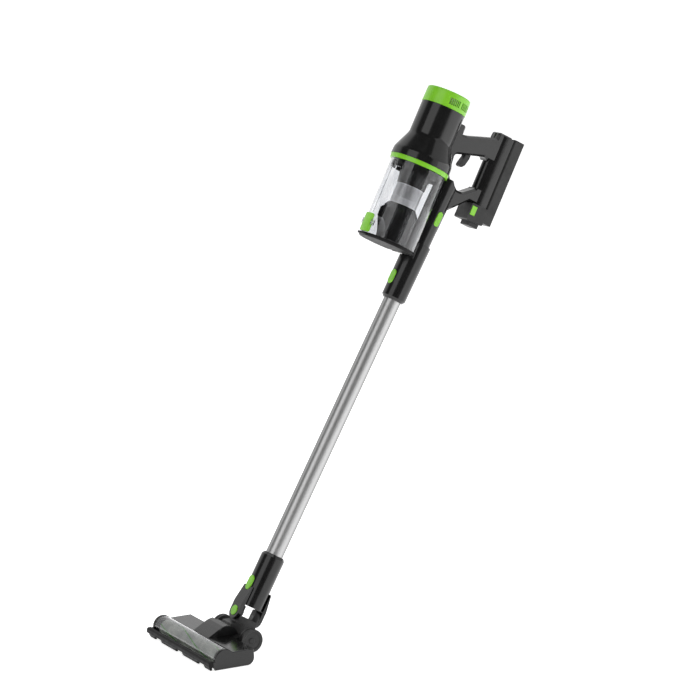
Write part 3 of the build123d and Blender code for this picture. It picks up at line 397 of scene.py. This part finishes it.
def brush_pile():
    """Felt sleeve with short fibres standing out of it."""
    draw = random.Random(11)
    verts, faces = [], []
    around, along = 64, 110
    x0, x1 = ROLL_X

    def on_roll(x, turn, radius):
        return Vector((x, ROLL_Y + radius * math.cos(turn), ROLL_Z + radius * math.sin(turn)))

    for i in range(along + 1):
        x = x0 + (x1 - x0) * i / along
        inset = 0.6 * MM if i in (0, along) else 0
        for k in range(around):
            rough = draw.uniform(-0.25, 0.25) * MM
            verts.append(on_roll(x, 2 * math.pi * k / around, PILE_FELT - inset + rough))
    for i in range(along):
        for k in range(around):
            n = (k + 1) % around
            a, b = i * around, (i + 1) * around
            faces.append((a + k, a + n, b + n, b + k))
    for i, x in ((0, x0), (along, x1)):
        start = len(verts)
        verts.extend(on_roll(x, 2 * math.pi * k / around, SLEEVE_BORE) for k in range(around))
        for k in range(around):
            n = (k + 1) % around
            quad = (i * around + k, i * around + n, start + n, start + k)
            faces.append(quad if i else quad[::-1])
    inner0, inner1 = len(verts) - 2 * around, len(verts) - around
    for k in range(around):
        n = (k + 1) % around
        faces.append((inner0 + n, inner0 + k, inner1 + k, inner1 + n))
    for _ in range(FIBRES):
        x = draw.uniform(x0 + 1 * MM, x1 - 1 * MM)
        turn = draw.uniform(0, 2 * math.pi)
        foot = on_roll(x, turn, PILE_FELT - 0.6 * MM)
        tip_x = x + draw.uniform(-1, 1) * MM * 0.9
        tip_turn = turn + draw.uniform(-0.07, 0.07)
        tip = on_roll(tip_x, tip_turn, draw.uniform(*FIBRE_TIPS) * MM)
        out = (tip - foot).normalized()
        side = out.cross(Vector((1, 0, 0))).normalized() * 0.28 * MM
        spin = Matrix.Rotation(draw.uniform(0, 2 * math.pi), 3, out)
        start = len(verts)
        for third in range(3):
            verts.append(foot + spin @ (Matrix.Rotation(third * 2 * math.pi / 3, 3, out) @ side))
        verts.append(tip)
        faces.extend([(start, start + 1, start + 3), (start + 1, start + 2, start + 3),
                      (start + 2, start, start + 3), (start + 2, start + 1, start)])
    new_piece("roll_pile", verts, faces, pile_material(), "brush", "brush_pile")


perforated_screen()
bayonet_lugs()
duct_cover()
brush_pile()


# ---------------------------------------------------------------- floor, light, camera
ROOM, WALL = 0.10, 1.0              # brightness of the room and of its white wall
WALL_AZIMUTH, WALL_HALF = 255, 66   # middle of the wall and half its width, in degrees
WALL_SOFT = 6
MIDDLE = Vector((0, 0, 0.5))


def stage():
    """Wide pale floor."""
    bpy.ops.mesh.primitive_plane_add(size=120, location=(0, 0, 0))
    floor = bpy.context.object
    floor.name = "floor"
    mat, nodes, links, shader = tree("floor")
    grain = noise(nodes, links, 3, 2)
    links.new(two_tone(nodes, links, grain.outputs["Fac"], (0.90, 0.90, 0.90), (0.92, 0.92, 0.92)),
              shader.inputs["Base Color"])
    shader.inputs["Roughness"].default_value = 0.9
    shader.inputs["Specular IOR Level"].default_value = 0.1
    shader.inputs["Emission Color"].default_value = (1, 1, 1, 1)
    shader.inputs["Emission Strength"].default_value = 0.80
    floor.data.materials.append(mat)


def softbox(name, azimuth, distance, height, size, radiance):
    """Large area light turned to the middle of the object. Azimuth 0 is the object's front."""
    light = bpy.data.lights.new(name, "AREA")
    light.shape = "RECTANGLE"
    light.size, light.size_y = size
    light.energy = radiance * math.pi * size[0] * size[1]
    lamp = bpy.data.objects.new(name, light)
    bpy.context.scene.collection.objects.link(lamp)
    turn = math.radians(azimuth)
    lamp.location = (distance * math.sin(turn), -distance * math.cos(turn), height)
    aim = MIDDLE - lamp.location
    lamp.rotation_euler = aim.to_track_quat("-Z", "Y").to_euler()


def studio_walls():
    """Dim room with a white wall behind the object, as a world light."""
    world = bpy.data.worlds.new("world")
    bpy.context.scene.world = world
    world.use_nodes = True
    nodes, links = world.node_tree.nodes, world.node_tree.links
    nodes["Background"].inputs["Color"].default_value = (1, 1, 1, 1)
    turn = math.radians(WALL_AZIMUTH)
    coords = nodes.new("ShaderNodeTexCoord")
    facing = nodes.new("ShaderNodeVectorMath")
    facing.operation = "DOT_PRODUCT"
    facing.inputs[1].default_value = (math.sin(turn), -math.cos(turn), 0)
    links.new(coords.outputs["Generated"], facing.inputs[0])
    edge = nodes.new("ShaderNodeMapRange")
    edge.inputs["From Min"].default_value = math.cos(math.radians(WALL_HALF + WALL_SOFT))
    edge.inputs["From Max"].default_value = math.cos(math.radians(WALL_HALF - WALL_SOFT))
    edge.inputs["To Min"].default_value = ROOM
    edge.inputs["To Max"].default_value = WALL
    links.new(facing.outputs["Value"], edge.inputs["Value"])
    links.new(edge.outputs["Result"], nodes["Background"].inputs["Strength"])


def camera():
    """Long lens, well back, looking slightly down."""
    data = bpy.data.cameras.new("camera")
    data.lens = 144
    data.sensor_width = 36
    data.clip_end = 200
    cam = bpy.data.objects.new("camera", data)
    bpy.context.scene.collection.objects.link(cam)
    az, el, away = math.radians(60), math.radians(11), 5.0
    target = Vector((0, -0.0023, 0.511))
    direction = Vector((math.sin(az) * math.cos(el), -math.cos(az) * math.cos(el), math.sin(el)))
    cam.location = target + away * direction
    cam.rotation_euler = (target - cam.location).to_track_quat("-Z", "Y").to_euler()
    bpy.context.scene.camera = cam


bpy.context.scene.view_settings.view_transform = "Standard"
stage()
softbox("key", azimuth=22, distance=3.2, height=1.7, size=(2.5, 3.6), radiance=1.3)
softbox("fill", azimuth=144, distance=3.2, height=1.7, size=(5.6, 3.6), radiance=0.80)
softbox("top", azimuth=200, distance=1.2, height=3.6, size=(3.0, 3.0), radiance=1.5)
studio_walls()
camera()
